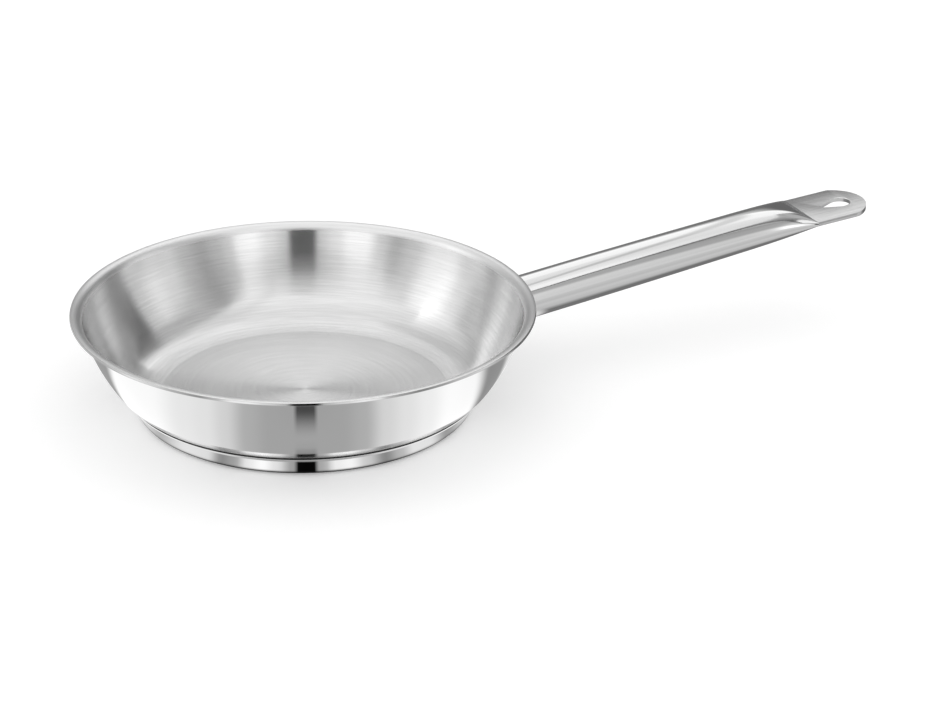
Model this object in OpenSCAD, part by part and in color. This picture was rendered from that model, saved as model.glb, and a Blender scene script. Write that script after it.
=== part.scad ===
// Stainless steel frying pan with a pouring rim, a capped sandwich base and a welded tube handle.
// Millimetres. The origin is the centre of the base's underside, +Z is up, the handle runs along +X.

/* [Pan body] */
// Diameter over the pouring rim
rim_d = 240; // [220:1:280]
// Height from the underside of the base to the top of the rim
body_h = 55; // [51:0.5:66]
// Thickness of the body's sheet
sheet_t = 1; // [0.7:0.1:1.2]
// Outside radius of the bend between the floor and the wall
corner_r = 30; // [26:0.5:32]
// Slope from the horizontal at which that bend becomes the wall
corner_slope = 55.5; // [52:0.5:58]
// Slope of the wall at its top, from the horizontal
wall_slope = 73.5; // [71:0.5:77]

/* [Pouring rim] */
// Upper radius of the rolled lip
lip_r = 4.8; // [4:0.1:6.5]
// Slope at which the lip's outer edge turns down
lip_droop = 20; // [10:1:40]

/* [Sandwich base] */
// Thickness of the aluminium core under the flat of the floor
core_t = 5.7; // [4:0.1:7.5]
// How far the base reaches past the flat of the floor, up the bend to its seam
base_reach = 17.5; // [14:0.5:19]
// Thickness of the cap's sheet
cap_t = 0.8; // [0.5:0.1:1]
// Outside radius of the cap's lower edge
cap_edge_r = 7.6; // [4:0.2:9]
// Slope of the cap's side, from the horizontal
cap_slope = 60; // [55:1:75]

/* [Handle tube] */
// Outside diameter of the round tube
tube_d = 24; // [20:0.5:25]
// Wall of the tube
tube_t = 1.2; // [1:0.1:2]
// Distance from the pan's axis to the tip of the handle
handle_reach = 332; // [300:1:370]
// Rise of the round tube, from the horizontal
tube_rise = 7.6; // [4:0.1:9]
// Rise of the flattened tab, from the horizontal
tab_rise = 5; // [3:0.1:7]
// Length of the flattened tab, from its crease to its tip
tab_len = 38; // [34:1:50]
// Length over which the round tube is pressed down to the tab
press_len = 120; // [80:1:140]
// Length of the tab's rounded end
tip_len = 14; // [10:0.5:18]

/* [Hanging hole] */
// Width of the hole at its wide end
hole_w = 12; // [8:0.2:14]
// Width of the hole at its narrow end
hole_narrow_w = 3.6; // [2:0.2:6]
// Length of the hole
hole_len = 18; // [15:0.5:22]
// Metal left between the hole and the tip
hole_web = 8; // [6:0.5:9]

/* [Handle fixing] */
// Thickness of the bracket's plate
plate_t = 1.5; // [1:0.1:2]
// Width of the bracket's plate
plate_w = 54; // [48:1:64]
// Width of plate left above the weld
plate_margin = 0.4; // [0.2:0.1:1]
// Depth of plate left below the weld
plate_foot = 2; // [1:0.1:2.4]
// Corner radius of the plate
plate_corner_r = 9; // [5:0.5:12]
// Wall of the collar that locates the tube
collar_t = 1.2; // [0.8:0.1:2]
// Length of that collar
collar_len = 14; // [8:1:24]
// Clearance between the collar and the tube
collar_clear = 0.3; // [0.2:0.05:0.5]
// Gap between the tube's end and the plate, before welding
root_gap = 0.2; // [0.1:0.05:0.4]
// Leg of the weld bead round the tube
weld_leg = 1; // [0.8:0.1:1.6]
// Width of a spot weld's dimple
spot_d = 5; // [3:0.5:6]
// Depth of that dimple
spot_deep = 0.3; // [0.1:0.05:0.4]

/* [Hidden] */

// Smoothness of the surfaces of revolution, and points on each arc of the pan's profile
round_fn = 160;
arc_steps = 14;
edge_steps = 8;
// Points round a section of the tube, and stations along its pressed part and its rounded tip
tube_sides = 36;
press_steps = 16;
tip_steps = 9;
// How sharply the pressing sets in towards the crease
press_power = 5;
// Clearance that keeps the weld bead off the plate and the tube
weld_clear = 0.02;
// Overrun of a cut past the surface it opens, and of the wall's curve past its top
cut_over = 5;
slope_over = 3;
// Lowest opening left inside the pressed tube, where its cavity ends
cavity_end = 0.5;
// Height of the weld bead's crown over its chord, as a share of its leg
bead_crown_share = 0.18;
// Height of the spot welds over and under the plate's middle, as a share of its height
spot_rise_share = 0.24;

// A point at a distance and an angle from a centre, and a run of such points
function polar(c, r, a) = [c[0] + r * cos(a), c[1] + r * sin(a)];
function arc(c, r, a0, a1, n) = [for (i = [0 : n]) polar(c, r, a0 + (a1 - a0) * i / n)];
function reversed(p) = [for (i = [len(p) - 1 : -1 : 0]) p[i]];

// The pan's profile is a chain of tangent arcs, worked out from the rim inwards.
// A surface's angle on its arc is its slope minus a right angle, or plus one on the lip.
rim_r = rim_d / 2;
base_h = cap_t + core_t;
wall_a = wall_slope - 90;
corner_a = corner_slope - 90;
lip_c = [rim_r - sheet_t / 2 - (lip_r - sheet_t / 2) * sin(lip_droop), body_h - lip_r];
wall_top = polar(lip_c, lip_r - sheet_t, wall_slope + 90);
corner_top_z = base_h + corner_r * (1 - cos(corner_slope));
wall_r = (wall_top[1] - corner_top_z) / (cos(corner_slope) - cos(wall_slope));
wall_c = polar(wall_top, -wall_r, wall_a);
corner_c = polar(polar(wall_c, wall_r, corner_a), -corner_r, corner_a);
flat_r = corner_c[0];
seam_a = -acos(base_reach / corner_r);

// The underside of the sheet moved outwards by off: the bend as far as the base's seam, and from
// there to the foot of the lip
function bend(off) = arc(corner_c, corner_r + off, -90, seam_a, arc_steps);
function skin(off) = concat(
    bend(off),
    arc(corner_c, corner_r + off, seam_a, corner_a, edge_steps),
    arc(wall_c, wall_r + off, corner_a, wall_a, arc_steps));

// Radius of that moved surface at a height
function skin_r(z, off) =
    z > corner_c[1] + (corner_r + off) * sin(corner_a)
    ? wall_c[0] + sqrt(pow(wall_r + off, 2) - pow(z - wall_c[1], 2))
    : corner_c[0] + sqrt(pow(corner_r + off, 2) - pow(z - corner_c[1], 2));

// The lip's underside, its rounded edge and its top, from the wall round to the wall again
edge_c = polar(lip_c, lip_r - sheet_t / 2, 90 - lip_droop);
lip_under = arc(lip_c, lip_r - sheet_t, wall_slope + 90, 90 - lip_droop, arc_steps);
lip_edge = arc(edge_c, sheet_t / 2, -90 - lip_droop, 90 - lip_droop, edge_steps);
lip_top = arc(lip_c, lip_r, 90 - lip_droop, wall_slope + 90, arc_steps);

// Drops points that repeat the one before them
function tidy(p) = [for (i = [0 : len(p) - 1]) if (i == 0 || norm(p[i] - p[i - 1]) > sheet_t / 1000) p[i]];

module pan_body() {
    under = concat([[0, base_h]], skin(0), lip_under);
    over = concat(lip_top, reversed(skin(-sheet_t)), [[0, base_h + sheet_t]]);
    color("gainsboro") rotate_extrude($fn = round_fn) polygon(tidy(concat(under, lip_edge, over)));
}

// The core fills the bend up to the seam. Its side slopes like the cap's, and the cap lies outside it.
seam = polar(corner_c, corner_r, seam_a);
side = [cos(cap_slope), sin(cap_slope)];
core_edge_r = cap_edge_r - cap_t;
side_len = (seam[1] - cap_edge_r + core_edge_r * side[0]) / side[1];
edge_centre = seam - side_len * side + core_edge_r * [-side[1], side[0]];

// Profile of the core's lower side and outer side, shared by the cap that wraps it
core_outline = concat([[0, cap_t]], arc(edge_centre, core_edge_r, -90, cap_slope - 90, arc_steps), [seam]);

module base_core() {
    color("silver") rotate_extrude($fn = round_fn)
        polygon(tidy(concat(core_outline, reversed(bend(0)), [[0, base_h]])));
}

module base_cap() {
    under = arc(edge_centre, cap_edge_r, -90, cap_slope - 90, arc_steps);
    lip = arc(seam - cap_t * side, cap_t, cap_slope - 90, cap_slope, edge_steps);
    color("white") rotate_extrude($fn = round_fn)
        polygon(tidy(concat([[0, 0]], under, lip, reversed(core_outline))));
}

// The tube's axis rises from the plate. Its height leaves the weld and a margin under the lip.
tube_r = tube_d / 2;
toe_r = tube_r + weld_leg;
plate_top_z = wall_top[1];
plate_top_x = skin_r(plate_top_z, plate_t);
axis_top_z = plate_top_z - plate_margin - toe_r / cos(tube_rise);
function axis_z(x) = axis_top_z + (x - plate_top_x) * tan(tube_rise);

// Horizontal place of the tube's surface point where it meets the skin moved out by off.
// y is its sideways place and up its height over the axis. Each pass closes in on the answer.
function meet_x(y, up, off, x, passes = 6) =
    passes == 0 ? x : meet_x(y, up, off, sqrt(pow(skin_r(axis_z(x) + up, off), 2) - y * y), passes - 1);
function tube_up(r, a) = r * sin(a) / cos(tube_rise);
function foot(r, a, off) =
    let (y = r * cos(a), up = tube_up(r, a), x = meet_x(y, up, off, plate_top_x))
    [x, y, axis_z(x) + up];
joint = foot(0, 0, plate_t);

plate_low_z = joint[2] - toe_r / cos(tube_rise) - plate_foot;
plate_h = plate_top_z - plate_low_z;
plate_mid_z = (plate_top_z + plate_low_z) / 2;

// Outline of a rectangle with round corners
function rounded(w, h, r) = [for (q = [0 : 3]) each
    arc([(w / 2 - r) * (q == 0 || q == 3 ? 1 : -1), (h / 2 - r) * (q < 2 ? 1 : -1)],
        r, q * 90, q * 90 + 90, arc_steps)];

module wall_band(inner, outer) {
    rotate_extrude($fn = round_fn) polygon(concat(
        skin(inner), [polar(wall_c, wall_r + inner, wall_a + slope_over)],
        [polar(wall_c, wall_r + outer, wall_a + slope_over)], reversed(skin(outer))));
}

module spot_dimple(y, z) {
    x = sqrt(pow(skin_r(z, plate_t), 2) - y * y);
    slope = asin((wall_c[1] - z) / (wall_r + plate_t));
    translate([x, y, z]) rotate([0, 90 + slope, atan2(y, x)])
        translate([0, 0, -spot_deep]) cylinder(d = spot_d, h = cut_over, $fn = 32);
}

module handle_bracket() {
    spot_y = (toe_r + plate_w / 2) / 2;
    color("darkgray") {
        difference() {
            intersection() {
                wall_band(0, plate_t);
                translate([0, 0, plate_mid_z]) rotate([90, 0, 90])
                    linear_extrude(rim_r) polygon(tidy(rounded(plate_w, plate_h, plate_corner_r)));
            }
            for (side = [-1, 1], level = [-1, 1])
                spot_dimple(side * spot_y, plate_mid_z + level * plate_h * spot_rise_share);
        }
        difference() {
            translate(joint) rotate([0, 90 - tube_rise, 0]) translate([0, 0, -tube_r])
                difference() {
                    collar_r = tube_r - tube_t - collar_clear;
                    cylinder(r = collar_r, h = tube_r + collar_len, $fn = 64);
                    translate([0, 0, -cut_over])
                        cylinder(r = collar_r - collar_t, h = tube_r + collar_len + 2 * cut_over, $fn = 64);
                }
            rotate_extrude($fn = round_fn)
                polygon(concat([[0, base_h]], skin(plate_t / 2), [[0, body_h]]));
        }
    }
}

// The tube is pressed flat at its far end without stretching: each section is a slot outline whose
// rim is as long as the round tube's, so its width follows from its height.
tab_t = 2 * tube_t;
crease_x = handle_reach - tab_len * cos(tab_rise);
press_x = crease_x - press_len;
tip_x = handle_reach - tip_len;
tip_end_share = 0.996;
function slot_w(h) = PI * tube_r - (PI / 2 - 1) * h;
function press_h(x) =
    x <= press_x ? tube_d
    : x >= crease_x ? tab_t
    : tab_t + (tube_d - tab_t) * (1 - pow(1 - (crease_x - x) / press_len, press_power));
function mid_z(x) = x <= crease_x ? axis_z(x) : axis_z(crease_x) + (x - crease_x) * tan(tab_rise);
function rise(x) = x < crease_x ? tube_rise : tab_rise;
function side_angle(k) = (k + 0.5) * 360 / tube_sides;

// Half the tab's width, which follows a half ellipse over its rounded tip
function half_w(x) =
    slot_w(tab_t) / 2 * (x <= tip_x ? 1 : sqrt(max(0, 1 - pow((x - tip_x) / tip_len, 2))));

// One section at x, its walls moved in by inset
function section(x, inset) =
    let (h = press_h(x) - 2 * inset, w = slot_w(press_h(x)) - 2 * inset, limit = half_w(x))
    [for (k = [0 : tube_sides - 1])
        let (a = side_angle(k), y = sign(cos(a)) * (w - h) / 2 + h / 2 * cos(a))
        [x, x > tip_x ? max(-limit, min(limit, y)) : y, mid_z(x) + h / 2 * sin(a) / cos(rise(x))]];

// The end that meets the plate is cut to the plate's curve
function mitre(r) = [for (k = [0 : tube_sides - 1]) foot(r, side_angle(k), plate_t + root_gap)];

press_stations = [for (i = [0 : press_steps - 1]) crease_x - press_len * pow(1 - i / press_steps, 1.8)];
tip_stations = [for (i = [0 : tip_steps]) tip_x + tip_len * tip_end_share * sin(90 * i / tip_steps)];
outer_rings = concat(
    [mitre(tube_r)],
    [for (x = press_stations) section(x, 0)],
    [section(crease_x, 0)],
    [for (x = tip_stations) section(x, 0)]);
inner_rings = concat(
    [mitre(tube_r - tube_t)],
    [for (x = press_stations) if (press_h(x) > 2 * tube_t + cavity_end) section(x, tube_t)]);

// Joins rings of n points by triangles. The rings start at point number s.
function side_faces(s, rings, n, flip) = [for (j = [0 : rings - 2], k = [0 : n - 1])
    let (a = s + j * n + k, b = s + j * n + (k + 1) % n)
    each flip ? [[a, b, a + n], [b, b + n, a + n]] : [[a, a + n, b], [b, a + n, b + n]]];
function fan(s, n, hub, flip) = [for (k = [0 : n - 1])
    let (a = s + k, b = s + (k + 1) % n) flip ? [hub, a, b] : [hub, b, a]];
function hub_of(ring) = [for (i = [0 : 2]) sum([for (p = ring) p[i]]) / len(ring)];
function sum(v, i = 0) = i == len(v) ? 0 : v[i] + sum(v, i + 1);

module tube_shell() {
    n = tube_sides;
    outer_n = len(outer_rings) * n;
    inner_n = len(inner_rings) * n;
    last_outer = outer_rings[len(outer_rings) - 1];
    last_inner = inner_rings[len(inner_rings) - 1];
    points = concat([for (r = outer_rings) each r], [for (r = inner_rings) each r],
        [hub_of(last_outer), hub_of(last_inner)]);
    mouth = [for (k = [0 : n - 1]) let (b = (k + 1) % n)
        each [[k, b, outer_n + k], [b, outer_n + b, outer_n + k]]];
    polyhedron(points, concat(
        side_faces(0, len(outer_rings), n, false),
        side_faces(outer_n, len(inner_rings), n, true),
        fan(outer_n - n, n, outer_n + inner_n, false),
        fan(outer_n + inner_n - n, n, outer_n + inner_n + 1, true),
        mouth));
}

// A drop: two round ends joined by their common tangents
module drop(wide_r, narrow_r, length, steps) {
    gap = length - wide_r - narrow_r;
    lean = acos((wide_r - narrow_r) / gap);
    polygon(concat(
        arc([0, 0], wide_r, lean - 180, 180 - lean, 2 * steps),
        arc([-gap, 0], narrow_r, 180 - lean, 180 + lean, steps)));
}

module handle_tube() {
    hole_x = handle_reach - (hole_web + hole_w / 2) * cos(tab_rise);
    color("lightgray") difference() {
        tube_shell();
        translate([hole_x, 0, mid_z(hole_x)]) rotate([0, -tab_rise, 0])
            linear_extrude(tab_t + 2 * cut_over, center = true)
                drop(hole_w / 2, hole_narrow_w / 2, hole_len, arc_steps);
    }
}

// The bead fills the corner between the tube and the plate, with a slightly crowned face
module weld_bead() {
    n = tube_sides;
    along = [cos(tube_rise), 0, sin(tube_rise)];
    sections = [for (k = [0 : n - 1])
        let (a = side_angle(k),
            root = foot(tube_r + weld_clear, a, plate_t + weld_clear),
            top = root + weld_leg * along,
            toe = foot(toe_r, a, plate_t + weld_clear),
            crown = (top + toe) / 2 + ((top + toe) / 2 - root) * bead_crown_share)
        each [root, top, crown, toe]];
    faces = [for (k = [0 : n - 1], j = [0 : 3])
        let (a = 4 * k + j, b = 4 * k + (j + 1) % 4, c = 4 * ((k + 1) % n) + j, d = 4 * ((k + 1) % n) + (j + 1) % 4)
        each [[a, c, b], [b, c, d]]];
    color("gray") polyhedron(sections, faces);
}

pan_body();
base_core();
base_cap();
handle_bracket();
handle_tube();
weld_bead();
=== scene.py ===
from math import acos, asin, cos, hypot, pi, radians, sin, sqrt, tan

import bmesh
import bpy
from mathutils import Matrix, Vector


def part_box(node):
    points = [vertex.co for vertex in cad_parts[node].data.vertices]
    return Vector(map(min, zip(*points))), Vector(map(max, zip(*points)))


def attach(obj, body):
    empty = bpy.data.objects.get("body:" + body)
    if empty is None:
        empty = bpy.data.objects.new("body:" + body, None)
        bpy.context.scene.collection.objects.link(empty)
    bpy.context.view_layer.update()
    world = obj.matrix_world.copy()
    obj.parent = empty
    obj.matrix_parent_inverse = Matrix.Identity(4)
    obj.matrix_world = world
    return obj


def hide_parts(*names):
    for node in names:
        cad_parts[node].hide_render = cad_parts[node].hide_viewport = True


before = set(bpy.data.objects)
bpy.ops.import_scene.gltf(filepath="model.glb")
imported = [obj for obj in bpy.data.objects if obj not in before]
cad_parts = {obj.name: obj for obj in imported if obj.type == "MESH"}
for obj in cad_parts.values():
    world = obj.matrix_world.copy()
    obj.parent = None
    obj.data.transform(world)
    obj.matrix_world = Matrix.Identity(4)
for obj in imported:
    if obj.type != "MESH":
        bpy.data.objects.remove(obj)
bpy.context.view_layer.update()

# Pan body. One disc of stainless sheet, drawn to a shallow bowl, with its edge rolled outwards
# into a pouring rim. The outside is mirror polished, the inside is brushed in circles, and the
# rim keeps a satin band between the two.
rim_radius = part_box("pan_body")[1].x
body_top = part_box("pan_body")[1].z
floor_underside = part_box("pan_body")[0].z
sheet = 0.001
corner_radius = 0.030
corner_slope = radians(55.5)
wall_slope = radians(73.5)
lip_radius = 0.0048
lip_droop = radians(20)
right_angle = pi / 2
floor_top = floor_underside + sheet
floor_rings = 24
same_place = 1e-6


def polar(centre, radius, angle):
    return (centre[0] + radius * cos(angle), centre[1] + radius * sin(angle))


def arc(centre, radius, start, end, steps=16):
    return [polar(centre, radius, start + (end - start) * i / steps) for i in range(steps + 1)]


def straight(start, end, steps=12):
    return [tuple(a + (b - a) * i / steps for a, b in zip(start, end)) for i in range(steps + 1)]


wall_angle = wall_slope - right_angle
corner_angle = corner_slope - right_angle
lip_start = wall_slope + right_angle
lip_centre = (rim_radius - sheet / 2 - (lip_radius - sheet / 2) * sin(lip_droop), body_top - lip_radius)
wall_top = polar(lip_centre, lip_radius - sheet, lip_start)
corner_top = floor_underside + corner_radius * (1 - cos(corner_slope))
wall_radius = (wall_top[1] - corner_top) / (cos(corner_slope) - cos(wall_slope))
wall_centre = polar(wall_top, -wall_radius, wall_angle)
corner_centre = polar(polar(wall_centre, wall_radius, corner_angle), -corner_radius, corner_angle)
flat_radius = corner_centre[0]


def skin(offset, corner_steps=32, wall_steps=32):
    """The underside of the sheet moved outwards, from the floor's flat to the foot of the lip."""
    corner = arc(corner_centre, corner_radius + offset, -right_angle, corner_angle, corner_steps)
    return corner + arc(wall_centre, wall_radius + offset, corner_angle, wall_angle, wall_steps)[1:]


def skin_radius(height, offset):
    """Radius of that moved wall at a height."""
    return wall_centre[0] + sqrt((wall_radius + offset) ** 2 - (height - wall_centre[1]) ** 2)


def placed(name, mesh):
    """A mesh as an object in the scene."""
    piece = bpy.data.objects.new(name, mesh)
    bpy.context.scene.collection.objects.link(piece)
    return piece


def smoothed(mesh, sharp=40):
    """Shades a mesh smooth, with its edges sharp from an angle in degrees."""
    mesh.shade_smooth()
    mesh.set_sharp_from_angle(angle=radians(sharp))


def lathe(name, stretches, turns=320):
    """Turns a closed profile, given as stretches of (points, material), about the pan's axis."""
    points, finishes = [], []
    for stretch, finish in stretches:
        for point in stretch:
            if not points or hypot(point[0] - points[-1][0], point[1] - points[-1][1]) > same_place:
                points.append(point)
                finishes.append(finish)
    verts, rings = [], []
    for radius, height in points:
        if radius < same_place:
            rings.append([len(verts)] * turns)
            verts.append((0, 0, height))
            continue
        rings.append(list(range(len(verts), len(verts) + turns)))
        verts += [(*polar((0, 0), radius, 2 * pi * k / turns), height) for k in range(turns)]
    faces, marks = [], []
    for low, high, finish in zip(rings, rings[1:], finishes[1:]):
        for k in range(turns):
            after = (k + 1) % turns
            face = list(dict.fromkeys((low[k], low[after], high[after], high[k])))
            if len(face) > 2:
                faces.append(face)
                marks.append(finish)
    mesh = bpy.data.meshes.new(name)
    mesh.from_pydata(verts, [], faces)
    order = {finish: i for i, finish in enumerate(dict.fromkeys(marks))}
    for finish in order:
        mesh.materials.append(finish)
    mesh.polygons.foreach_set("material_index", [order[mark] for mark in marks])
    smoothed(mesh)
    return placed(name, mesh)


def added(tree, kind, inputs=None, **settings):
    """A new node with its settings made, and its inputs set to values or linked to sockets."""
    node = tree.nodes.new(kind)
    for name, value in settings.items():
        setattr(node, name, value)
    for name, value in (inputs or {}).items():
        if isinstance(value, bpy.types.NodeSocket):
            tree.links.new(value, node.inputs[name])
        else:
            node.inputs[name].default_value = value
    return node


def worked_out(tree, operation, *values):
    """The result of a sum on numbers or on sockets."""
    return added(tree, "ShaderNodeMath", dict(enumerate(values)), operation=operation).outputs["Value"]


def shader_of(material):
    return material.node_tree.nodes["Principled BSDF"]


def steel(name, color, roughness, anisotropic=0.0):
    """A metal with its finish set on the shader's own sockets."""
    material = bpy.data.materials.new(name)
    material.use_nodes = True
    shader = shader_of(material)
    shader.inputs["Base Color"].default_value = (*color, 1)
    shader.inputs["Metallic"].default_value = 1
    shader.inputs["Roughness"].default_value = roughness
    shader.inputs["Anisotropic"].default_value = anisotropic
    return material


polished_steel = steel("polished steel", (0.80, 0.80, 0.80), 0.04)
satin_rim = steel("satin rim", (0.83, 0.83, 0.83), 0.34, anisotropic=0.8)
# The inside's brushed steel comes in three tones for the light on it: the bend lighter, a painted bright
# ring; the wall and floor darker, painted shade.
brushed_wall_shaded = steel("brushed wall shaded", (0.765, 0.765, 0.765), 0.18, anisotropic=1)
brushed_bend_lit = steel("brushed bend lit", (0.87, 0.87, 0.87), 0.26, anisotropic=1)
brushed_floor_shaded = steel("brushed floor shaded", (0.75, 0.75, 0.75), 0.27, anisotropic=1)
# The braze band is near black: the braze joint plus painted shade in the groove between cap and body.
braze_and_groove_shade = steel("braze and groove shade", (0.06, 0.06, 0.06), 0.45)
# The rim's cut edge is darker than the polish: painted shade, a dark outline under the rim's edge.
cut_edge_shade = steel("cut edge shade", (0.58, 0.58, 0.58), 0.08)
brush_lines = 850


def round_grain(material, breaks=4, contrast=0.1):
    """Turns the grain round the pan's axis and lays fine brush lines along it."""
    tree, shader = material.node_tree, shader_of(material)
    shader.inputs["Anisotropic Rotation"].default_value = 0.25
    round_the_axis = added(tree, "ShaderNodeTangent", direction_type="RADIAL", axis="Z")
    tree.links.new(round_the_axis.outputs["Tangent"], shader.inputs["Tangent"])
    place = added(tree, "ShaderNodeTexCoord").outputs["Object"]
    x, y, z = added(tree, "ShaderNodeSeparateXYZ", {"Vector": place}).outputs
    flat = added(tree, "ShaderNodeCombineXYZ", {"X": x, "Y": y}).outputs["Vector"]
    reach = added(tree, "ShaderNodeVectorMath", {0: flat}, operation="LENGTH").outputs["Value"]
    way = added(tree, "ShaderNodeVectorMath", {0: flat}, operation="NORMALIZE").outputs["Vector"]
    bearing = added(
        tree, "ShaderNodeVectorMath", {0: way, "Scale": breaks}, operation="SCALE").outputs["Vector"]
    across = worked_out(tree, "MULTIPLY", worked_out(tree, "ADD", reach, z), brush_lines)
    row = added(tree, "ShaderNodeCombineXYZ", {"Z": across}).outputs["Vector"]
    grain_place = added(tree, "ShaderNodeVectorMath", {0: bearing, 1: row}, operation="ADD").outputs["Vector"]
    grain = added(tree, "ShaderNodeTexNoise", {
        "Vector": grain_place, "Scale": 1, "Detail": 3, "Roughness": 0.6})
    color = tuple(shader.inputs["Base Color"].default_value)[:3]
    tone = added(tree, "ShaderNodeMix", {
        "Factor": grain.outputs["Fac"],
        6: (*[c * (1 - contrast) for c in color], 1),
        7: (*[c * (1 + contrast) for c in color], 1),
    }, data_type="RGBA")
    tree.links.new(tone.outputs[2], shader.inputs["Base Color"])


round_grain(brushed_wall_shaded, contrast=0.15)
round_grain(brushed_bend_lit, contrast=0.15)
round_grain(brushed_floor_shaded, breaks=1.4, contrast=0.12)
round_grain(satin_rim)

edge_facing = radians(20)
edge_start = radians(75.4)
upper_round, lower_round = 0.0002, 0.00012
upper_reach = lip_radius - upper_round
lower_reach = lip_radius - sheet + lower_round
upper_centre = polar(lip_centre, upper_reach, edge_start)
lower_turn = edge_facing + acos(
    (upper_reach * cos(edge_start - edge_facing) + upper_round - lower_round) / lower_reach)
lower_centre = polar(lip_centre, lower_reach, lower_turn)
lip_under = arc(lip_centre, lip_radius - sheet, lip_start, lower_turn, steps=24)
lip_edge = arc(lower_centre, lower_round, lower_turn - pi, edge_facing, steps=10)
lip_edge += arc(upper_centre, upper_round, edge_facing, edge_start, steps=6)
lip_top = arc(lip_centre, lip_radius, edge_start, lip_start, steps=32)
base_reach = 0.0175
# Width of the near-black band over the seam: the braze joint and the groove's painted shade.
braze_shade_width = 0.0008
seam_angle = -acos(base_reach / corner_radius)
seam = polar(corner_centre, corner_radius, seam_angle)
braze_shade_top = polar(corner_centre, corner_radius, seam_angle + braze_shade_width / corner_radius)
bend = skin(0, corner_steps=96)
seam_place = sum(1 for x, z in bend if x < seam[0])
braze_shade_end = sum(1 for x, z in bend if x < braze_shade_top[0])

# The polish starts dull over the seam and clears upwards in three bands.
haze, haze_end = [], braze_shade_end
for height, roughness in ((0.0150, 0.30), (0.0165, 0.20), (0.0180, 0.11)):
    hazed = sum(1 for x, z in bend if z < height)
    haze.append((bend[haze_end:hazed], steel("polish %g" % roughness, (0.80, 0.80, 0.80), roughness)))
    haze_end = hazed
inside = skin(-sheet)
bend_end = 8
pan_body = lathe("drawn_body", [
    (straight((0, floor_underside), (flat_radius, floor_underside)) + bend[:seam_place], polished_steel),
    (bend[seam_place:braze_shade_end], braze_and_groove_shade),
    *haze,
    (bend[haze_end:], polished_steel),
    (lip_under, polished_steel),
    # The cut edge carries the painted shade of the rim's dark outline.
    (lip_edge, cut_edge_shade),
    (lip_top, satin_rim),
    # Brushed inside: painted shade on the wall and floor, and a painted bright ring on the bend.
    (inside[:bend_end:-1], brushed_wall_shaded),
    (inside[bend_end::-1], brushed_bend_lit),
    (straight((flat_radius, floor_top), (0, floor_top), floor_rings), brushed_floor_shaded),
])
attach(pan_body, "root")
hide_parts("pan_body")

# Base cap. A pressed stainless capsule wrapped round the aluminium core and bonded to the pan's
# underside. Its rounded upper edge leaves a fine groove against the body.
cap_sheet = 0.0008
cap_edge_radius = 0.0076
cap_slope = radians(60)
cap_angle = cap_slope - right_angle
spun_margin = 0.002
finish_step = 0.0002
braze_shade_start = 7

side = (cos(cap_slope), sin(cap_slope))
core_edge_radius = cap_edge_radius - cap_sheet
side_length = (seam[1] - cap_edge_radius + core_edge_radius * side[0]) / side[1]
foot_centre = (seam[0] - side_length * side[0] - core_edge_radius * side[1], cap_edge_radius)
cap_lip_centre = (seam[0] - cap_sheet * side[0], seam[1] - cap_sheet * side[1])
cap_foot = arc(foot_centre, cap_edge_radius, -right_angle, cap_angle, steps=32)
cap_lip = arc(cap_lip_centre, cap_sheet, cap_angle, cap_slope, steps=12)
cap_inside = arc(foot_centre, core_edge_radius, cap_angle, -right_angle)
spun_edge = foot_centre[0] - spun_margin
spun_base = steel("spun base", (0.74, 0.74, 0.74), 0.28, anisotropic=0.9)
round_grain(spun_base, breaks=1.4, contrast=0.12)
base_cap = lathe("base_capsule", [
    (straight((0, 0), (spun_edge, 0), floor_rings), spun_base),
    ([(spun_edge + finish_step, 0)] + cap_foot, polished_steel),
    (straight(cap_foot[-1], cap_lip[0], steps=8) + cap_lip[:braze_shade_start], polished_steel),
    # The cap's edge at the seam is near black too: painted shade in the groove, over the braze joint.
    (cap_lip[braze_shade_start:], braze_and_groove_shade),
    (cap_inside, polished_steel),
    ([(0, cap_sheet)], polished_steel),
])
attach(base_cap, "root")
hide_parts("base_cap")

# Base core. A disc of aluminium between the body and the cap, which spreads the heat. It is
# pressed in between the two and no side of it shows.
core_gap = 0.00002
core_top = [(x, z) for x, z in skin(core_gap, corner_steps=96) if z < seam[1] - cap_sheet]
core_foot = arc(foot_centre, core_edge_radius - core_gap, -right_angle, cap_angle)
core_metal = steel("core aluminium", (0.72, 0.72, 0.73), 0.45)
base_core = lathe("core_disc", [
    (straight((0, core_foot[0][1]), core_foot[0]) + core_foot, core_metal),
    (core_top[::-1], core_metal),
    (straight(core_top[0], (0, core_top[0][1])), core_metal),
])
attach(base_core, "root")
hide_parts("base_core")

# Handle tube. A round stainless tube, mitred to the pan's wall and pressed flat at its far end
# into a tab, which is brushed lengthwise. A drop-shaped hanging hole is punched through the tab
# and its rims are rounded over. Pressing keeps the length round each section.
tube_radius = 0.012
tube_wall = 0.0012
tube_rise = radians(7.6)
tab_rise = radians(5)
handle_reach = 0.332
tab_length = 0.038
press_length = 0.150
early_share, early_power, late_power = 0.25, 1.7, 14
oval_power = 5
oval_halvings, wall_rounds = 30, 8
tab_spread = 0.0009
tip_radius = 0.020
plate_sheet = 0.0015
plate_margin = 0.0004
weld_leg = 0.001
root_gap = 0.0002
weld_toe = tube_radius + weld_leg
tab_thickness = 2 * tube_wall
crease = handle_reach - tab_length * cos(tab_rise)
press_start = crease - press_length
axis_top = wall_top[1] - plate_margin - weld_toe / cos(tube_rise)
plate_top_x = skin_radius(wall_top[1], plate_sheet)


def axis_height(x):
    """Height of the round tube's axis."""
    return axis_top + (x - plate_top_x) * tan(tube_rise)


def middle_height(x):
    """Height of the middle of the tube or of the tab."""
    return axis_height(x) if x <= crease else axis_height(crease) + (x - crease) * tan(tab_rise)


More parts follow.
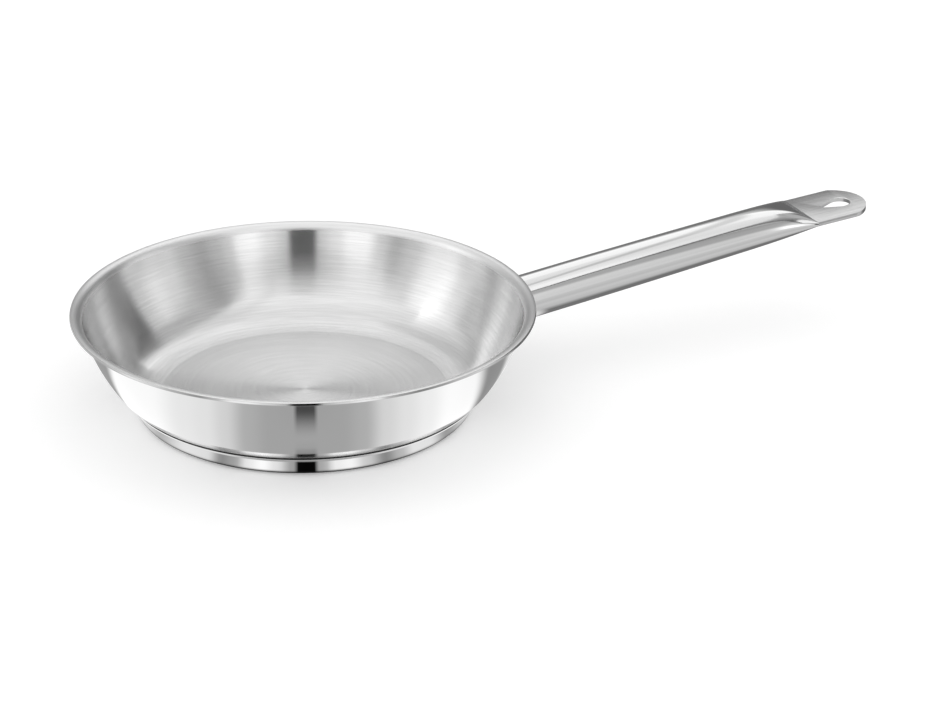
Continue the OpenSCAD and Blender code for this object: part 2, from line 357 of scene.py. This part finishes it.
def pressed_height(x):
    """Outside height of the section, from the full round to the two walls laid together."""
    if x <= press_start:
        return 2 * tube_radius
    if x >= crease:
        return tab_thickness
    way = 1 - (crease - x) / press_length
    flattened = early_share * way ** early_power + (1 - early_share) * way ** late_power
    return 2 * tube_radius - (2 * tube_radius - tab_thickness) * flattened


def pressed_width(height):
    """Width of a slot-shaped section whose rim is as long as the round tube's."""
    return pi * tube_radius - (pi / 2 - 1) * height


def oval_width(height):
    """Width of an oval section with the same rim."""
    low, high = height / 2, pi * tube_radius / 2
    for _ in range(oval_halvings):
        half = (low + high) / 2
        girth = pi * (3 * (half + height / 2) - sqrt((3 * half + height / 2) * (half + 1.5 * height)))
        low, high = (low, half) if girth > 2 * pi * tube_radius else (half, high)
    return low + high


def roundness(x):
    """Share of the oval in a section. The tube stays oval until shortly before the tab."""
    return 1 - min(1, max(0, 1 - (crease - x) / press_length)) ** oval_power


def wall_foot(radius, angle, offset):
    """Where the tube's surface line at an angle meets the wall moved outwards."""
    y, up, x = radius * cos(angle), radius * sin(angle) / cos(tube_rise), plate_top_x
    for _ in range(wall_rounds):
        x = sqrt(skin_radius(axis_height(x) + up, offset) ** 2 - y * y)
    return (x, y, axis_height(x) + up)


tube_sides = 96
tab_half_width = pressed_width(tab_thickness) / 2 + tab_spread
tip_turn = asin(tab_half_width / tip_radius)
tip_start = handle_reach - tip_radius + tip_radius * cos(tip_turn)


def tube_angles():
    return [2 * pi * (k + 0.5) / tube_sides for k in range(tube_sides)]


def tube_section(x, inset):
    """One ring of the tube's surface, or of its bore where there is an inset."""
    height = pressed_height(x)
    oval = roundness(x)
    slot_width = pressed_width(height) + 2 * tab_spread * (1 - oval) - 2 * inset
    whole_width = oval_width(height) - 2 * inset
    height -= 2 * inset
    rise = tube_rise if x < crease else tab_rise
    limit = tab_half_width
    if x > tip_start:
        limit = sqrt(max(0, tip_radius ** 2 - (x - handle_reach + tip_radius) ** 2))
    ring = []
    for angle in tube_angles():
        slot_y = (1 if cos(angle) > 0 else -1) * (slot_width - height) / 2 + height / 2 * cos(angle)
        y = oval * whole_width / 2 * cos(angle) + (1 - oval) * slot_y
        y = max(-limit, min(limit, y)) if x > tip_start else y
        ring.append((x, y, middle_height(x) + height / 2 * sin(angle) / cos(rise)))
    return ring


def mitred_end(radius):
    return [wall_foot(radius, angle, plate_sheet + root_gap) for angle in tube_angles()]


def quads(ring_count, sides, first=0, closed=False):
    """Faces between rings of points that follow each other, and from the last to the first if closed."""
    faces = []
    for j in range(ring_count if closed else ring_count - 1):
        low, high = first + j * sides, first + (j + 1) % ring_count * sides
        for k in range(sides):
            after = (k + 1) % sides
            faces.append((low + k, high + k, high + after, low + after))
    return faces


press_steps, press_spacing = 72, 1.9
tip_steps, tip_share = 24, 0.985
bore_end = 0.0005
pressed = [crease - press_length * (1 - i / press_steps) ** press_spacing for i in range(press_steps)]
tip_turns = [tip_turn * (1 - tip_share * i / tip_steps) for i in range(tip_steps + 1)]
rounded = [handle_reach - tip_radius * (1 - cos(turn)) for turn in tip_turns]
outer_rings = [mitred_end(tube_radius)]
outer_rings += [tube_section(x, 0) for x in pressed + [crease] + rounded]
inner_rings = [mitred_end(tube_radius - tube_wall)]
inner_rings += [tube_section(x, tube_wall) for x in pressed if pressed_height(x) > 2 * tube_wall + bore_end]
verts = [point for ring in inner_rings[::-1] + outer_rings for point in ring]
ring_count = len(inner_rings) + len(outer_rings)
faces = quads(ring_count, tube_sides)
faces.append(list(range(tube_sides)))
faces.append([(ring_count - 1) * tube_sides + k for k in reversed(range(tube_sides))])
on_tab = (ring_count - len(rounded) - 1) * tube_sides
tube_mesh = bpy.data.meshes.new("tube_handle")
tube_mesh.from_pydata(verts, [], faces)
tube_mesh.flip_normals()

handle_steel = steel("handle steel", (0.79, 0.79, 0.79), 0.07)
hole_steel = steel("punched edge", (0.78, 0.78, 0.78), 0.25)
tab_steel = steel("brushed tab", (0.82, 0.82, 0.82), 0.24, anisotropic=0.8)
scratch_scale = (25, 900, 40)
scratch_depth = 0.00004
tab_crown = 3.2
tab_tree, tab_shader = tab_steel.node_tree, shader_of(tab_steel)
tab_place = added(tab_tree, "ShaderNodeTexCoord").outputs["Object"]
lengthwise = added(tab_tree, "ShaderNodeMapping", {"Vector": tab_place, "Scale": scratch_scale})
scratches = added(tab_tree, "ShaderNodeTexNoise", {
    "Vector": lengthwise.outputs["Vector"], "Scale": 1, "Detail": 4, "Roughness": 0.65}).outputs["Fac"]
along_the_tab = added(tab_tree, "ShaderNodeTangent", direction_type="RADIAL", axis="X")
tab_tone = added(tab_tree, "ShaderNodeMix", {
    "Factor": scratches, 6: (0.53, 0.53, 0.53, 1), 7: (0.8, 0.8, 0.8, 1)}, data_type="RGBA")
across_tab = added(tab_tree, "ShaderNodeSeparateXYZ", {"Vector": tab_place}).outputs["Y"]
crowned = worked_out(tab_tree, "MULTIPLY", worked_out(tab_tree, "POWER", across_tab, 2), -tab_crown)
grooved = worked_out(tab_tree, "MULTIPLY_ADD", scratches, scratch_depth, crowned)
tab_bump = added(tab_tree, "ShaderNodeBump", {"Strength": 1, "Distance": 1, "Height": grooved})
tab_tree.links.new(along_the_tab.outputs["Tangent"], tab_shader.inputs["Tangent"])
tab_tree.links.new(tab_tone.outputs[2], tab_shader.inputs["Base Color"])
tab_tree.links.new(tab_bump.outputs["Normal"], tab_shader.inputs["Normal"])
tube_mesh.materials.append(handle_steel)
tube_mesh.materials.append(tab_steel)
tube_mesh.polygons.foreach_set(
    "material_index", [1 if min(face.vertices) >= on_tab else 0 for face in tube_mesh.polygons])

hole_wide_radius = 0.006
hole_narrow_radius = 0.0018
hole_length = 0.018
hole_web = 0.008
rim_rounding = 0.00035
rounding_steps = 8
hole_x = handle_reach - (hole_web + hole_wide_radius) * cos(tab_rise)
hole_gap = hole_length - hole_wide_radius - hole_narrow_radius
hole_lean = acos((hole_wide_radius - hole_narrow_radius) / hole_gap)
tab_along = Vector((cos(tab_rise), 0, sin(tab_rise)))
tab_up = Vector((-sin(tab_rise), 0, cos(tab_rise)))


def drop_ring(height, grown):
    """The drop's outline, grown outwards, at a height over the middle of the tab."""
    outline = arc((0, 0), hole_wide_radius + grown, hole_lean - pi, pi - hole_lean, steps=40)
    outline += arc(
        (-hole_gap, 0), hole_narrow_radius + grown, pi - hole_lean, pi + hole_lean, steps=20)
    middle = Vector((hole_x, 0, middle_height(hole_x)))
    return [middle + tab_along * along + Vector((0, across, 0)) + tab_up * height
            for along, across in outline]


upper = [(tab_thickness / 2 - rim_rounding + rim_rounding * sin(a), rim_rounding * (1 - cos(a)))
         for a in (right_angle * i / rounding_steps for i in range(rounding_steps + 1))]
upper.append((tab_thickness, rim_rounding))
levels = [(-height, grown) for height, grown in upper[::-1]] + upper
cutter_rings = [drop_ring(height, grown) for height, grown in levels]
sides = len(cutter_rings[0])
faces = [list(range(sides))[::-1], [(len(levels) - 1) * sides + k for k in range(sides)]]
faces += [(a, d, c, b) for a, b, c, d in quads(len(levels), sides)]
punch_mesh = bpy.data.meshes.new("punch")
punch_mesh.from_pydata([point for ring in cutter_rings for point in ring], [], faces)
punch_mesh.materials.append(hole_steel)
punch = placed("punch", punch_mesh)
handle_tube = placed("tube_handle", tube_mesh)
punching = handle_tube.modifiers.new("punching", "BOOLEAN")
punching.operation = "DIFFERENCE"
punching.solver = "EXACT"
punching.material_mode = "TRANSFER"
punching.object = punch


def made_real(piece):
    """Turns the result of a piece's modifiers into its plain mesh."""
    worked = piece.evaluated_get(bpy.context.evaluated_depsgraph_get())
    piece.data = bpy.data.meshes.new_from_object(worked)
    piece.modifiers.clear()


made_real(handle_tube)
bpy.data.objects.remove(punch)
smoothed(handle_tube.data, sharp=12.5)
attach(handle_tube, "root")
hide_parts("handle_tube")

# Handle bracket. A stainless plate pressed to the wall's curve and held by four spot welds, which
# leave round dimples. A short collar drawn out of it sits inside the tube.
plate_width = 0.054
plate_foot = 0.002
plate_corner = 0.009
plate_edge = 0.0005
plate_clear = 0.00003
plate_steps, edge_steps, back_steps = 40, 6, 16
long_side_steps, short_side_steps = 36, 12
spot_radius, spot_floor, spot_depth = 0.0025, 0.0016, 0.0003
spot_rise_share = 0.24
collar_outer, collar_inner, collar_length = 0.0105, 0.0093, 0.014
joint = Vector(wall_foot(0, 0, plate_sheet))
plate_top = wall_top[1]
plate_height = plate_top - joint.z + weld_toe / cos(tube_rise) + plate_foot
plate_middle = plate_top - plate_height / 2
spine_end = (plate_width - plate_height) / 2
spot_across, spot_up = (weld_toe + plate_width / 2) / 2, spot_rise_share * plate_height


def plate_outline():
    """The plate's outline as sideways and upward distances from its middle, with rounded corners."""
    points = []
    across, up = plate_width / 2 - plate_corner, plate_height / 2 - plate_corner
    for turn, (y, z) in enumerate(((across, up), (-across, up), (-across, -up), (across, -up))):
        corner = arc((y, z), plate_corner, turn * right_angle, (turn + 1) * right_angle)
        if points:
            points += straight(points[-1], corner[0], long_side_steps if turn % 2 else short_side_steps)[1:-1]
        points += corner
    return points + straight(points[-1], points[0], short_side_steps)[1:-1]


def plate_point(outline_point, share, inset, lift):
    """A point of the plate: a share of the way out from its middle line, inset, lifted off the wall."""
    spine = max(-spine_end, min(spine_end, outline_point[0]))
    reach = Vector((outline_point[0] - spine, outline_point[1]))
    along = reach.normalized() * (reach.length - inset) * share
    y, height = spine + along.x, plate_middle + along.y
    far = hypot(abs(y) - spot_across, abs(along.y) - spot_up)
    if lift > plate_sheet / 2:
        lift -= spot_depth * sqrt(1 - min(1, max(0, (far - spot_floor) / (spot_radius - spot_floor))))
    return (sqrt(skin_radius(height, lift) ** 2 - y * y), y, height)


def plate_ring(share, inset, lift):
    return [plate_point(outline_point, share, inset, lift) for outline_point in outline]


def collar_root(radius):
    return [wall_foot(radius, angle, plate_sheet / 2) for angle in tube_angles()]


def collar_end(radius):
    return [(
        joint.x + collar_length * cos(tube_rise) - radius * sin(tube_rise) * sin(angle),
        joint.y + radius * cos(angle),
        joint.z + collar_length * sin(tube_rise) + radius * cos(tube_rise) * sin(angle),
    ) for angle in tube_angles()]


outline = plate_outline()
edge_turns = [right_angle * i / edge_steps for i in range(1, edge_steps + 1)]
plate_rings = [plate_ring(i / plate_steps, plate_edge, plate_sheet) for i in range(plate_steps + 1)]
plate_rings += [plate_ring(1, plate_edge * (1 - sin(a)), plate_sheet - plate_edge * (1 - cos(a)))
                for a in edge_turns]
plate_rings += [plate_ring(i / back_steps, 0, plate_clear) for i in range(back_steps, -1, -1)]
verts = [point for ring in plate_rings for point in ring]
faces = quads(len(plate_rings), len(outline))
collar_rings = [
    collar_root(collar_inner), collar_root(collar_outer), collar_end(collar_outer), collar_end(collar_inner)]
faces += quads(len(collar_rings), tube_sides, first=len(verts), closed=True)
verts += [point for ring in collar_rings for point in ring]
plate_mesh = bpy.data.meshes.new("bracket_plate")
plate_mesh.from_pydata(verts, [], faces)
bracket_form = bmesh.new()
bracket_form.from_mesh(plate_mesh)
bmesh.ops.remove_doubles(bracket_form, verts=bracket_form.verts, dist=same_place)
bmesh.ops.recalc_face_normals(bracket_form, faces=bracket_form.faces)
bracket_form.to_mesh(plate_mesh)
bracket_form.free()
plate_mesh.materials.append(steel("bracket steel", (0.74, 0.74, 0.74), 0.16))
smoothed(plate_mesh)
bracket = placed("bracket_plate", plate_mesh)
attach(bracket, "root")
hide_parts("handle_bracket")

# Weld bead. One run of weld metal all round the tube's foot, laid down in short overlapping
# ripples and left as welded, a little duller than the tube.
bead_offset = 0.00032
bead_steps = 192
bead_mesh = bpy.data.meshes.new("weld_run")
bead_mesh.from_pydata(
    [wall_foot(tube_radius + bead_offset, 2 * pi * k / bead_steps, plate_sheet + bead_offset)
     for k in range(bead_steps)], [(k, (k + 1) % bead_steps) for k in range(bead_steps)], [])
weld = placed("weld_run", bead_mesh)
weld_steel = steel("weld metal", (0.66, 0.655, 0.645), 0.24)
ripples = bpy.data.node_groups.new("weld ripples", "GeometryNodeTree")
for name, kind, flow in (
        ("Path", "NodeSocketGeometry", "INPUT"), ("Core radius", "NodeSocketFloat", "INPUT"),
        ("Ripple count", "NodeSocketInt", "INPUT"), ("Ripple radius", "NodeSocketFloat", "INPUT"),
        ("Ripple flatness", "NodeSocketFloat", "INPUT"), ("Lean", "NodeSocketFloat", "INPUT"),
        ("Unevenness", "NodeSocketFloat", "INPUT"), ("Seed", "NodeSocketInt", "INPUT"),
        ("Metal", "NodeSocketMaterial", "INPUT"), ("Bead", "NodeSocketGeometry", "OUTPUT")):
    ripples.interface.new_socket(name=name, in_out=flow, socket_type=kind)
given = ripples.nodes.new("NodeGroupInput").outputs
run = added(ripples, "GeometryNodeMeshToCurve", {"Mesh": given["Path"]}).outputs["Curve"]
core_ring = added(
    ripples, "GeometryNodeCurvePrimitiveCircle", {"Resolution": 12, "Radius": given["Core radius"]})
swept = added(ripples, "GeometryNodeCurveToMesh", {"Curve": run, "Profile Curve": core_ring.outputs["Curve"]})
stations = added(
    ripples, "GeometryNodeCurveToPoints", {"Curve": run, "Count": given["Ripple count"]}, mode="COUNT")
ripple = added(
    ripples, "GeometryNodeMeshUVSphere", {"Segments": 14, "Rings": 10, "Radius": given["Ripple radius"]})
lean_turn = added(ripples, "ShaderNodeCombineXYZ", {"X": given["Lean"]})
leaning = added(ripples, "FunctionNodeRotateRotation", {
    "Rotation": stations.outputs["Rotation"],
    "Rotate By": lean_turn.outputs["Vector"]}, rotation_space="LOCAL")
smallest = worked_out(ripples, "SUBTRACT", 1, given["Unevenness"])
uneven = added(ripples, "FunctionNodeRandomValue", {
    "Min": smallest, "Seed": given["Seed"]}, data_type="FLOAT").outputs["Value"]
ripple_scale = added(ripples, "ShaderNodeCombineXYZ", {
    "X": uneven, "Y": uneven, "Z": given["Ripple flatness"]})
laid = added(ripples, "GeometryNodeInstanceOnPoints", {
    "Points": stations.outputs["Points"], "Instance": ripple.outputs["Mesh"],
    "Rotation": leaning.outputs["Rotation"], "Scale": ripple_scale.outputs["Vector"]})
joined = added(ripples, "GeometryNodeJoinGeometry", {"Geometry": swept.outputs["Mesh"]})
ripples.links.new(laid.outputs["Instances"], joined.inputs["Geometry"])
real = added(ripples, "GeometryNodeRealizeInstances", {"Geometry": joined.outputs["Geometry"]})
smooth = added(ripples, "GeometryNodeSetShadeSmooth", {"Geometry": real.outputs["Geometry"]})
finished = added(
    ripples, "GeometryNodeSetMaterial", {"Geometry": smooth.outputs["Geometry"], "Material": given["Metal"]})
added(ripples, "NodeGroupOutput", {"Bead": finished.outputs["Geometry"]})
rippling = weld.modifiers.new("rippling", "NODES")
rippling.node_group = ripples
for name, value in (("Core radius", 0.0006), ("Ripple count", 92), ("Ripple radius", 0.00074),
                    ("Ripple flatness", 0.5), ("Lean", radians(35)), ("Unevenness", 0.08), ("Seed", 7),
                    ("Metal", weld_steel)):
    rippling[next(i.identifier for i in ripples.interface.items_tree if i.name == name)] = value
made_real(weld)
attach(weld, "root")
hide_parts("weld_bead")

# Studio floor. A plain white floor, lit by the white surround and a faint glow of its own, which
# catches the pan's shadow. It is dull, so that it mirrors nothing.
handle_bearing = radians(20.5)
floor_size = 6
floor_drop = 0.0001
floor_corners = [(x * floor_size, y * floor_size) for x, y in ((-1, -1), (1, -1), (1, 1), (-1, 1))]


def flat_mesh(name, corners, height, finish):
    """A flat sheet with one finish, given by its corners."""
    mesh = bpy.data.meshes.new(name)
    mesh.from_pydata([(x, y, height) for x, y in corners], [], [range(len(corners))])
    mesh.materials.append(finish)
    return mesh


white_floor = bpy.data.materials.new("white floor")
white_floor.use_nodes = True
white_shader = shader_of(white_floor)
white_shader.inputs["Base Color"].default_value = (0.8, 0.8, 0.8, 1)
white_shader.inputs["Roughness"].default_value = 1
white_shader.inputs["Specular IOR Level"].default_value = 0
white_shader.inputs["Emission Color"].default_value = (1, 1, 1, 1)
white_shader.inputs["Emission Strength"].default_value = 0.3
floor = placed("floor", flat_mesh("floor", floor_corners, -floor_drop, white_floor))

# Lamps over the pan, seen by the metal alone: a wide lamp, its dark border and a grey card beside it.
# Places are metres right of the camera's line and towards the back. Here and below, most levels, from
# 0 to 255, are greys read off the photographed steel, and some were then changed.
metal_sees = 0.80
lamp_height = 1.0
lamp_front, lamp_back = -1.15, 1.6
lamp_corners = [(-1.2, lamp_front), (0.845, lamp_front), (0.73, -0.5), (0.675, -0.3), (0.576, 0.15),
                (0.53, 0.6), (0.85, lamp_back), (-0.35, lamp_back), (-0.25, 0.45), (-1.2, 0)]
lamp_depths = [(lamp_front, 225), (-0.8, 240), (-0.4, 244), (-0.15, 230), (0.1, 221), (0.35, 226),
               (0.6, 246), (lamp_back, 254)]
lamp_slot = 0.385
lamp_slot_core, lamp_slot_edge = 0.01, 0.05
lamp_slot_light = (0.68, 0.68, 0.68, 1)
white = (1, 1, 1, 1)
right_edge = lamp_corners[1:7]
border_widths = [0.045, 0.04, 0.035, 0.03, 0.04, 0.04]
border_light = [(lamp_front, 0.08), (-0.2, 0.08), (0.05, 0.3), (0.25, 0.46), (lamp_back, 0.5)]
outer_border = [(x + width, y) for (x, y), width in zip(right_edge, border_widths)]
side_front = -0.35
side_corners = outer_border[2:] + [(1.9, lamp_back), (1.6, side_front)]
side_depths = [(side_front, 172), (0.6, 172), (1.0, 110), (lamp_back, 95)]


def grey(level):
    """The light that a camera shows as this level, from 0 to 255."""
    value = level / 255
    return value / 12.92 if value < 0.04045 else ((value + 0.055) / 1.055) ** 2.4


def brightness(stops):
    """Turns the levels of stops into light, brighter by what polished steel takes away."""
    return [(place, grey(level) / metal_sees) for place, level in stops]


def lit(name):
    """A material that only glows. Returns it, its node tree, its place and the socket of its light."""
    light = bpy.data.materials.new(name)
    light.use_nodes = True
    tree = light.node_tree
    tree.nodes.remove(tree.nodes["Principled BSDF"])
    glow = added(tree, "ShaderNodeEmission")
    tree.links.new(glow.outputs["Emission"], tree.nodes["Material Output"].inputs["Surface"])
    return light, tree, added(tree, "ShaderNodeTexCoord").outputs["Object"], glow.inputs["Color"]


def card(name, corners, height, light):
    """A flat card that only the metal's reflections show."""
    shown = placed(name, flat_mesh(name, corners, height, light))
    for sees in ("visible_camera", "visible_diffuse", "visible_shadow", "visible_transmission"):
        setattr(shown, sees, False)


def shades(tree, value, stops):
    """Light by a value, eased from stop to stop."""
    low, high = stops[0][0], stops[-1][0]
    share = added(tree, "ShaderNodeMapRange", {"Value": value, "From Min": low, "From Max": high})
    ramp = added(tree, "ShaderNodeValToRGB", {"Fac": share.outputs["Result"]})
    ramp.color_ramp.interpolation = "EASE"
    while len(ramp.color_ramp.elements) < len(stops):
        ramp.color_ramp.elements.new(1)
    for element, (place, light) in zip(ramp.color_ramp.elements, stops):
        element.position = (place - low) / (high - low)
        element.color = (light, light, light, 1)
    return ramp.outputs["Color"]


def from_camera(tree, place):
    """Splits a place into its ways right of the camera's line, towards the back, and up."""
    turned = added(
        tree, "ShaderNodeVectorRotate", {"Vector": place, "Angle": handle_bearing}, rotation_type="Z_AXIS")
    return added(tree, "ShaderNodeSeparateXYZ", {"Vector": turned.outputs["Vector"]}).outputs


def between(tree, value, low, high):
    """A share that climbs from 0 to 1 between two values."""
    return added(tree, "ShaderNodeMapRange", {
        "Value": value, "From Min": low, "From Max": high}, interpolation_type="SMOOTHSTEP").outputs["Result"]


def blend(tree, share, first, second, kind="MIX"):
    """Two lights, mixed by a share."""
    return added(
        tree, "ShaderNodeMix", {0: share, 6: first, 7: second}, data_type="RGBA", blend_type=kind).outputs[2]


def turned_back(corners):
    """Places in the CAD frame of corners given right of the camera's line and towards the back."""
    turn = (cos(handle_bearing), sin(handle_bearing))
    return [(x * turn[0] + y * turn[1], y * turn[0] - x * turn[1]) for x, y in corners]


lamp, tree, place, glow = lit("lamp")
right, back, up = from_camera(tree, place)
off_slot = worked_out(tree, "ABSOLUTE", worked_out(tree, "SUBTRACT", right, lamp_slot))
slot_dimming = blend(
    tree, between(tree, off_slot, lamp_slot_core, lamp_slot_edge), lamp_slot_light, white)
lamp_light = shades(tree, back, brightness(lamp_depths))
tree.links.new(blend(tree, 1.0, lamp_light, slot_dimming, "MULTIPLY"), glow)
card("lamp", turned_back(lamp_corners), lamp_height, lamp)

for name, corners, stops in (
        ("lamp_border", right_edge + outer_border[::-1], border_light),
        ("side_card", side_corners, brightness(side_depths))):
    light, tree, place, glow = lit(name)
    right, back, up = from_camera(tree, place)
    tree.links.new(shades(tree, back, stops), glow)
    card(name, turned_back(corners), lamp_height, light)

# Card under the pan, which the metal alone sees. Its inner ring lights the cap, the next one the
# outside of the wall, and its right side the handle's underside. Bearings are degrees from the
# camera's towards the right.
card_radius = 6
card_drop = 0.00002
card_sides = 64
foot_shade = (0.0850, 0.0888)
cap_reach = 0.0926
cap_blend = 0.0003
wall_reach = 0.155
wall_blend = 0.01
handle_shown = (0.10, 0.14)
shade_light = (0.01, 0.01, 0.01, 1)
slot_half_angle = 5
slot_share = [(cap_reach, 0.5), (0.097, 0.3), (0.102, 0.05), (0.108, 0), (0.142, 1)]
wall_card = [(-180, 210), (-118, 205), (-106, 150), (-92, 150), (-83, 250), (-60, 248), (-45, 230),
             (-35, 224), (-28, 208), (-20, 172), (-12, 161), (-4.2, 158), (-3.6, 72), (0, 70), (3.6, 72),
             (4.2, 158), (12, 161), (20, 172), (28, 210), (36, 224), (45, 236), (55, 250), (69, 246),
             (80, 138), (92, 140), (104, 215), (180, 210)]
cap_card = [(-180, 120), (-120, 150), (-90, 200), (-70, 200), (-60, 176), (-45, 224), (-36, 220),
            (-30, 138), (-25, 158), (-20, 232), (-15, 252), (-10, 222), (-5, 158), (-3.4, 150), (-3, 8),
            (0, 5), (3, 8), (3.4, 160), (6, 170), (10, 235), (15, 245), (21, 200), (28, 134), (34, 180),
            (40, 224), (47, 222), (57, 150), (70, 190), (90, 200), (120, 150), (180, 120)]
under_handle = [(-0.35, 205), (-0.155, 191), (-0.095, 186), (-0.06, 196), (-0.03, 186), (-0.018, 150),
                (-0.010, 112), (0.05, 112)]
left_light = (*[grey(205) / metal_sees] * 3, 1)


def round_shades(tree, place, stops):
    """Light by the bearing of a place or a direction."""
    right, back, up = from_camera(tree, place)
    bearing = worked_out(tree, "ARCTAN2", right, worked_out(tree, "MULTIPLY", back, -1))
    return shades(tree, worked_out(tree, "DEGREES", bearing), brightness(stops))


floor_card, tree, place, glow = lit("floor card")
distance = added(tree, "ShaderNodeVectorMath", {0: place}, operation="LENGTH").outputs["Value"]
along, across, up = added(tree, "ShaderNodeSeparateXYZ", {"Vector": place}).outputs
slotless = [stop for stop in wall_card if abs(stop[0]) > slot_half_angle]
wall_light = blend(tree, shades(tree, distance, slot_share),
                   round_shades(tree, place, slotless), round_shades(tree, place, wall_card))
# Next to the foot the card goes dark: a painted shadow of the pan on the floor, which the cap mirrors.
cap_light = blend(tree, between(tree, distance, *foot_shade),
                  shade_light, round_shades(tree, place, cap_card))
near_light = blend(tree, between(tree, distance, cap_reach, cap_reach + cap_blend), cap_light, wall_light)
handle_light = shades(tree, across, brightness(under_handle))
far_light = blend(tree, between(tree, along, *handle_shown), left_light, handle_light)
floor_light = blend(tree, between(tree, distance, wall_reach - wall_blend, wall_reach),
                    near_light, far_light)
tree.links.new(floor_light, glow)
card("floor_card", arc((0, 0), card_radius, 0, 2 * pi, card_sides)[:-1], -card_drop, floor_card)

# Surround. White for the floor and the camera. The metal doesn't see that white: it sees soft lamps
# in a ring round the pan, a low row and a raised one, with the gaps between them and the dark slot
# that the camera looks through.
low_row_top, raised_row_start = radians(19), radians(31)
level_lamps = [(-180, 118), (-133, 166), (-113, 180), (-99, 228), (-88, 262), (-76, 242), (-62, 198),
               (-51, 165), (-43, 205), (-34, 270), (-26, 272), (-18, 240), (-7.9, 205), (-6.4, 3), (6.4, 3),
               (7.9, 205), (18, 240), (27, 270), (34, 262), (40, 206), (47, 178), (56, 150), (66, 178),
               (78, 216), (91, 238), (104, 205), (112, 70), (120, 85), (129, 146), (150, 104), (168, 98),
               (180, 118)]
raised_lamps = [(-180, 214), (-166, 199), (-150, 180), (-125, 212), (-102, 245), (-88, 282), (-76, 262),
                (-62, 195), (-52, 165), (-42, 195), (-32, 200), (-20, 165), (-11, 135), (-5, 10), (5, 10),
                (11, 135), (22, 172), (32, 200), (41, 165), (56, 146), (66, 164), (80, 226), (92, 246),
                (104, 205), (113, 75), (120, 75), (129, 138), (146, 155), (163, 204), (180, 214)]
world = bpy.data.worlds.new("studio")
world.use_nodes = True
tree = world.node_tree
direction = added(tree, "ShaderNodeTexCoord").outputs["Generated"]
right, back, up = from_camera(tree, direction)
raised = between(tree, up, sin(low_row_top), sin(raised_row_start))
lamps = blend(tree, raised, round_shades(tree, direction, level_lamps),
              round_shades(tree, direction, raised_lamps))
mirrored = added(tree, "ShaderNodeLightPath").outputs["Is Glossy Ray"]
tree.links.new(blend(tree, mirrored, white, lamps), tree.nodes["Background"].inputs["Color"])
bpy.context.scene.world = world

# Camera. It stands where the photograph's stood, with the same focal length and roll, and is aimed
# until the middle of the pan's foot falls on its pixel.
camera_distance = 1.455
camera_elevation = 0.4373918
focal_pixels = 2779.3
picture_width, picture_height = 930, 720
origin_pixel = (305.36, 401.82)
camera_roll = 0.00933
aiming_rounds = 20
sensor_width = 36

eye = camera_distance * Vector((
    -cos(camera_elevation) * sin(handle_bearing), -cos(camera_elevation) * cos(handle_bearing),
    sin(camera_elevation)))


def looking(heading, pitch):
    """Camera axes for a heading from +Y towards +X, a pitch, and the roll."""
    ahead = Vector((sin(heading) * cos(pitch), cos(heading) * cos(pitch), sin(pitch)))
    level = ahead.cross(Vector((0, 0, 1))).normalized()
    upright = level.cross(ahead)
    right = cos(camera_roll) * level + sin(camera_roll) * upright
    up = cos(camera_roll) * upright - sin(camera_roll) * level
    return Matrix((right, up, -ahead)).transposed()


heading, pitch = handle_bearing, -camera_elevation
for _ in range(aiming_rounds):
    seen = looking(heading, pitch).transposed() @ -eye
    heading_error = origin_pixel[0] - picture_width / 2 - focal_pixels * seen.x / -seen.z
    pitch_error = origin_pixel[1] - picture_height / 2 + focal_pixels * seen.y / -seen.z
    heading -= heading_error / focal_pixels / cos(pitch)
    pitch += pitch_error / focal_pixels
camera_data = bpy.data.cameras.new("camera")
camera_data.sensor_width = sensor_width
camera_data.lens = focal_pixels * sensor_width / picture_width
camera = placed("camera", camera_data)
camera.matrix_world = Matrix.Translation(eye) @ looking(heading, pitch).to_4x4()
bpy.context.scene.camera = camera
bpy.context.scene.view_settings.view_transform = "Standard"
